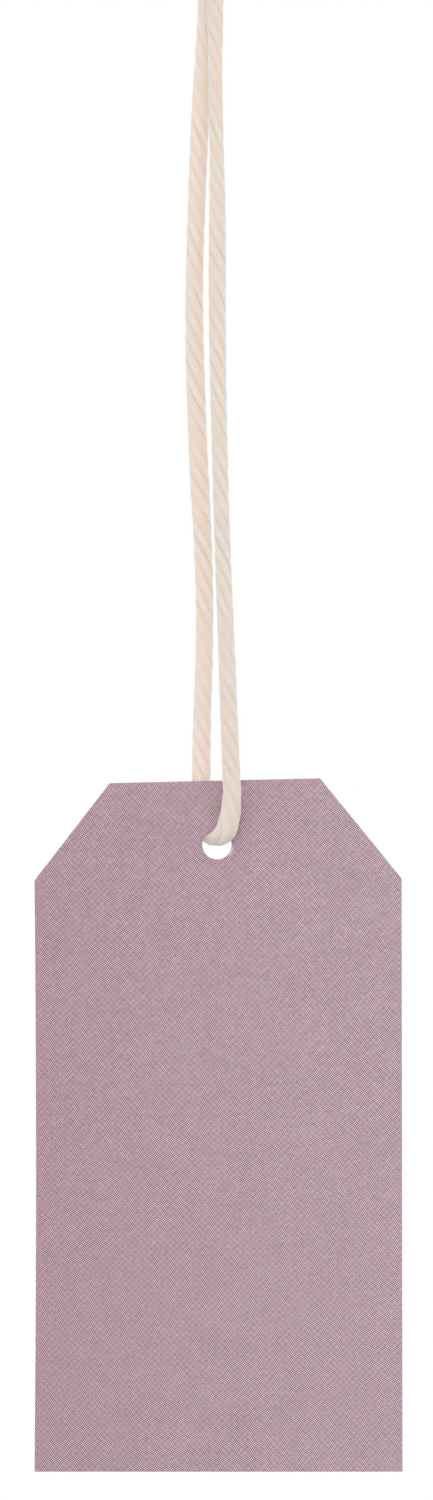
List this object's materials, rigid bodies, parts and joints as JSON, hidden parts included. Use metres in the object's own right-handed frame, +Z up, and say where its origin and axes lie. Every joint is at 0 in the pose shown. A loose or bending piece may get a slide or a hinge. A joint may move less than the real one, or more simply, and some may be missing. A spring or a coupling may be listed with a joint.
{
  "type": "gift tag",
  "caption": "Plain card gift tag with clipped upper corners and a punched hole, hanging on a twisted cord tied above it in an overhand knot.",
  "frame": {"origin": "the point under the knot that the hanging cord swings about", "axes": "+X across the card, +Y from its front to its back, +Z up along the hanging cord"},
  "size_m": [0.045, 0.0106, 0.2099],
  "materials": {
    "card_stock": "matt uncoated board, printed mauve on both faces",
    "cotton_cord": "soft twisted cotton, cream"
  },
  "bodies": {
    "knot": {"front_knot_end": "cotton_cord", "rear_knot_end": "cotton_cord"},
    "loop": {"front_strand": "cotton_cord", "rear_strand": "cotton_cord"},
    "tag": {"tag_card": "card_stock"}
  },
  "joints": [
    {"name": "loop_swing", "type": "hinge", "parent": "knot", "child": "loop", "pos_m": [0, 0, 0], "axis": [1, 0, 0], "range_deg": [-60, 60]},
    {"name": "tag_sway", "type": "hinge", "parent": "loop", "child": "tag", "pos_m": [0, 0, -0.10435], "axis": [0, 1, 0], "range_deg": [-90, 90]}
  ]
}
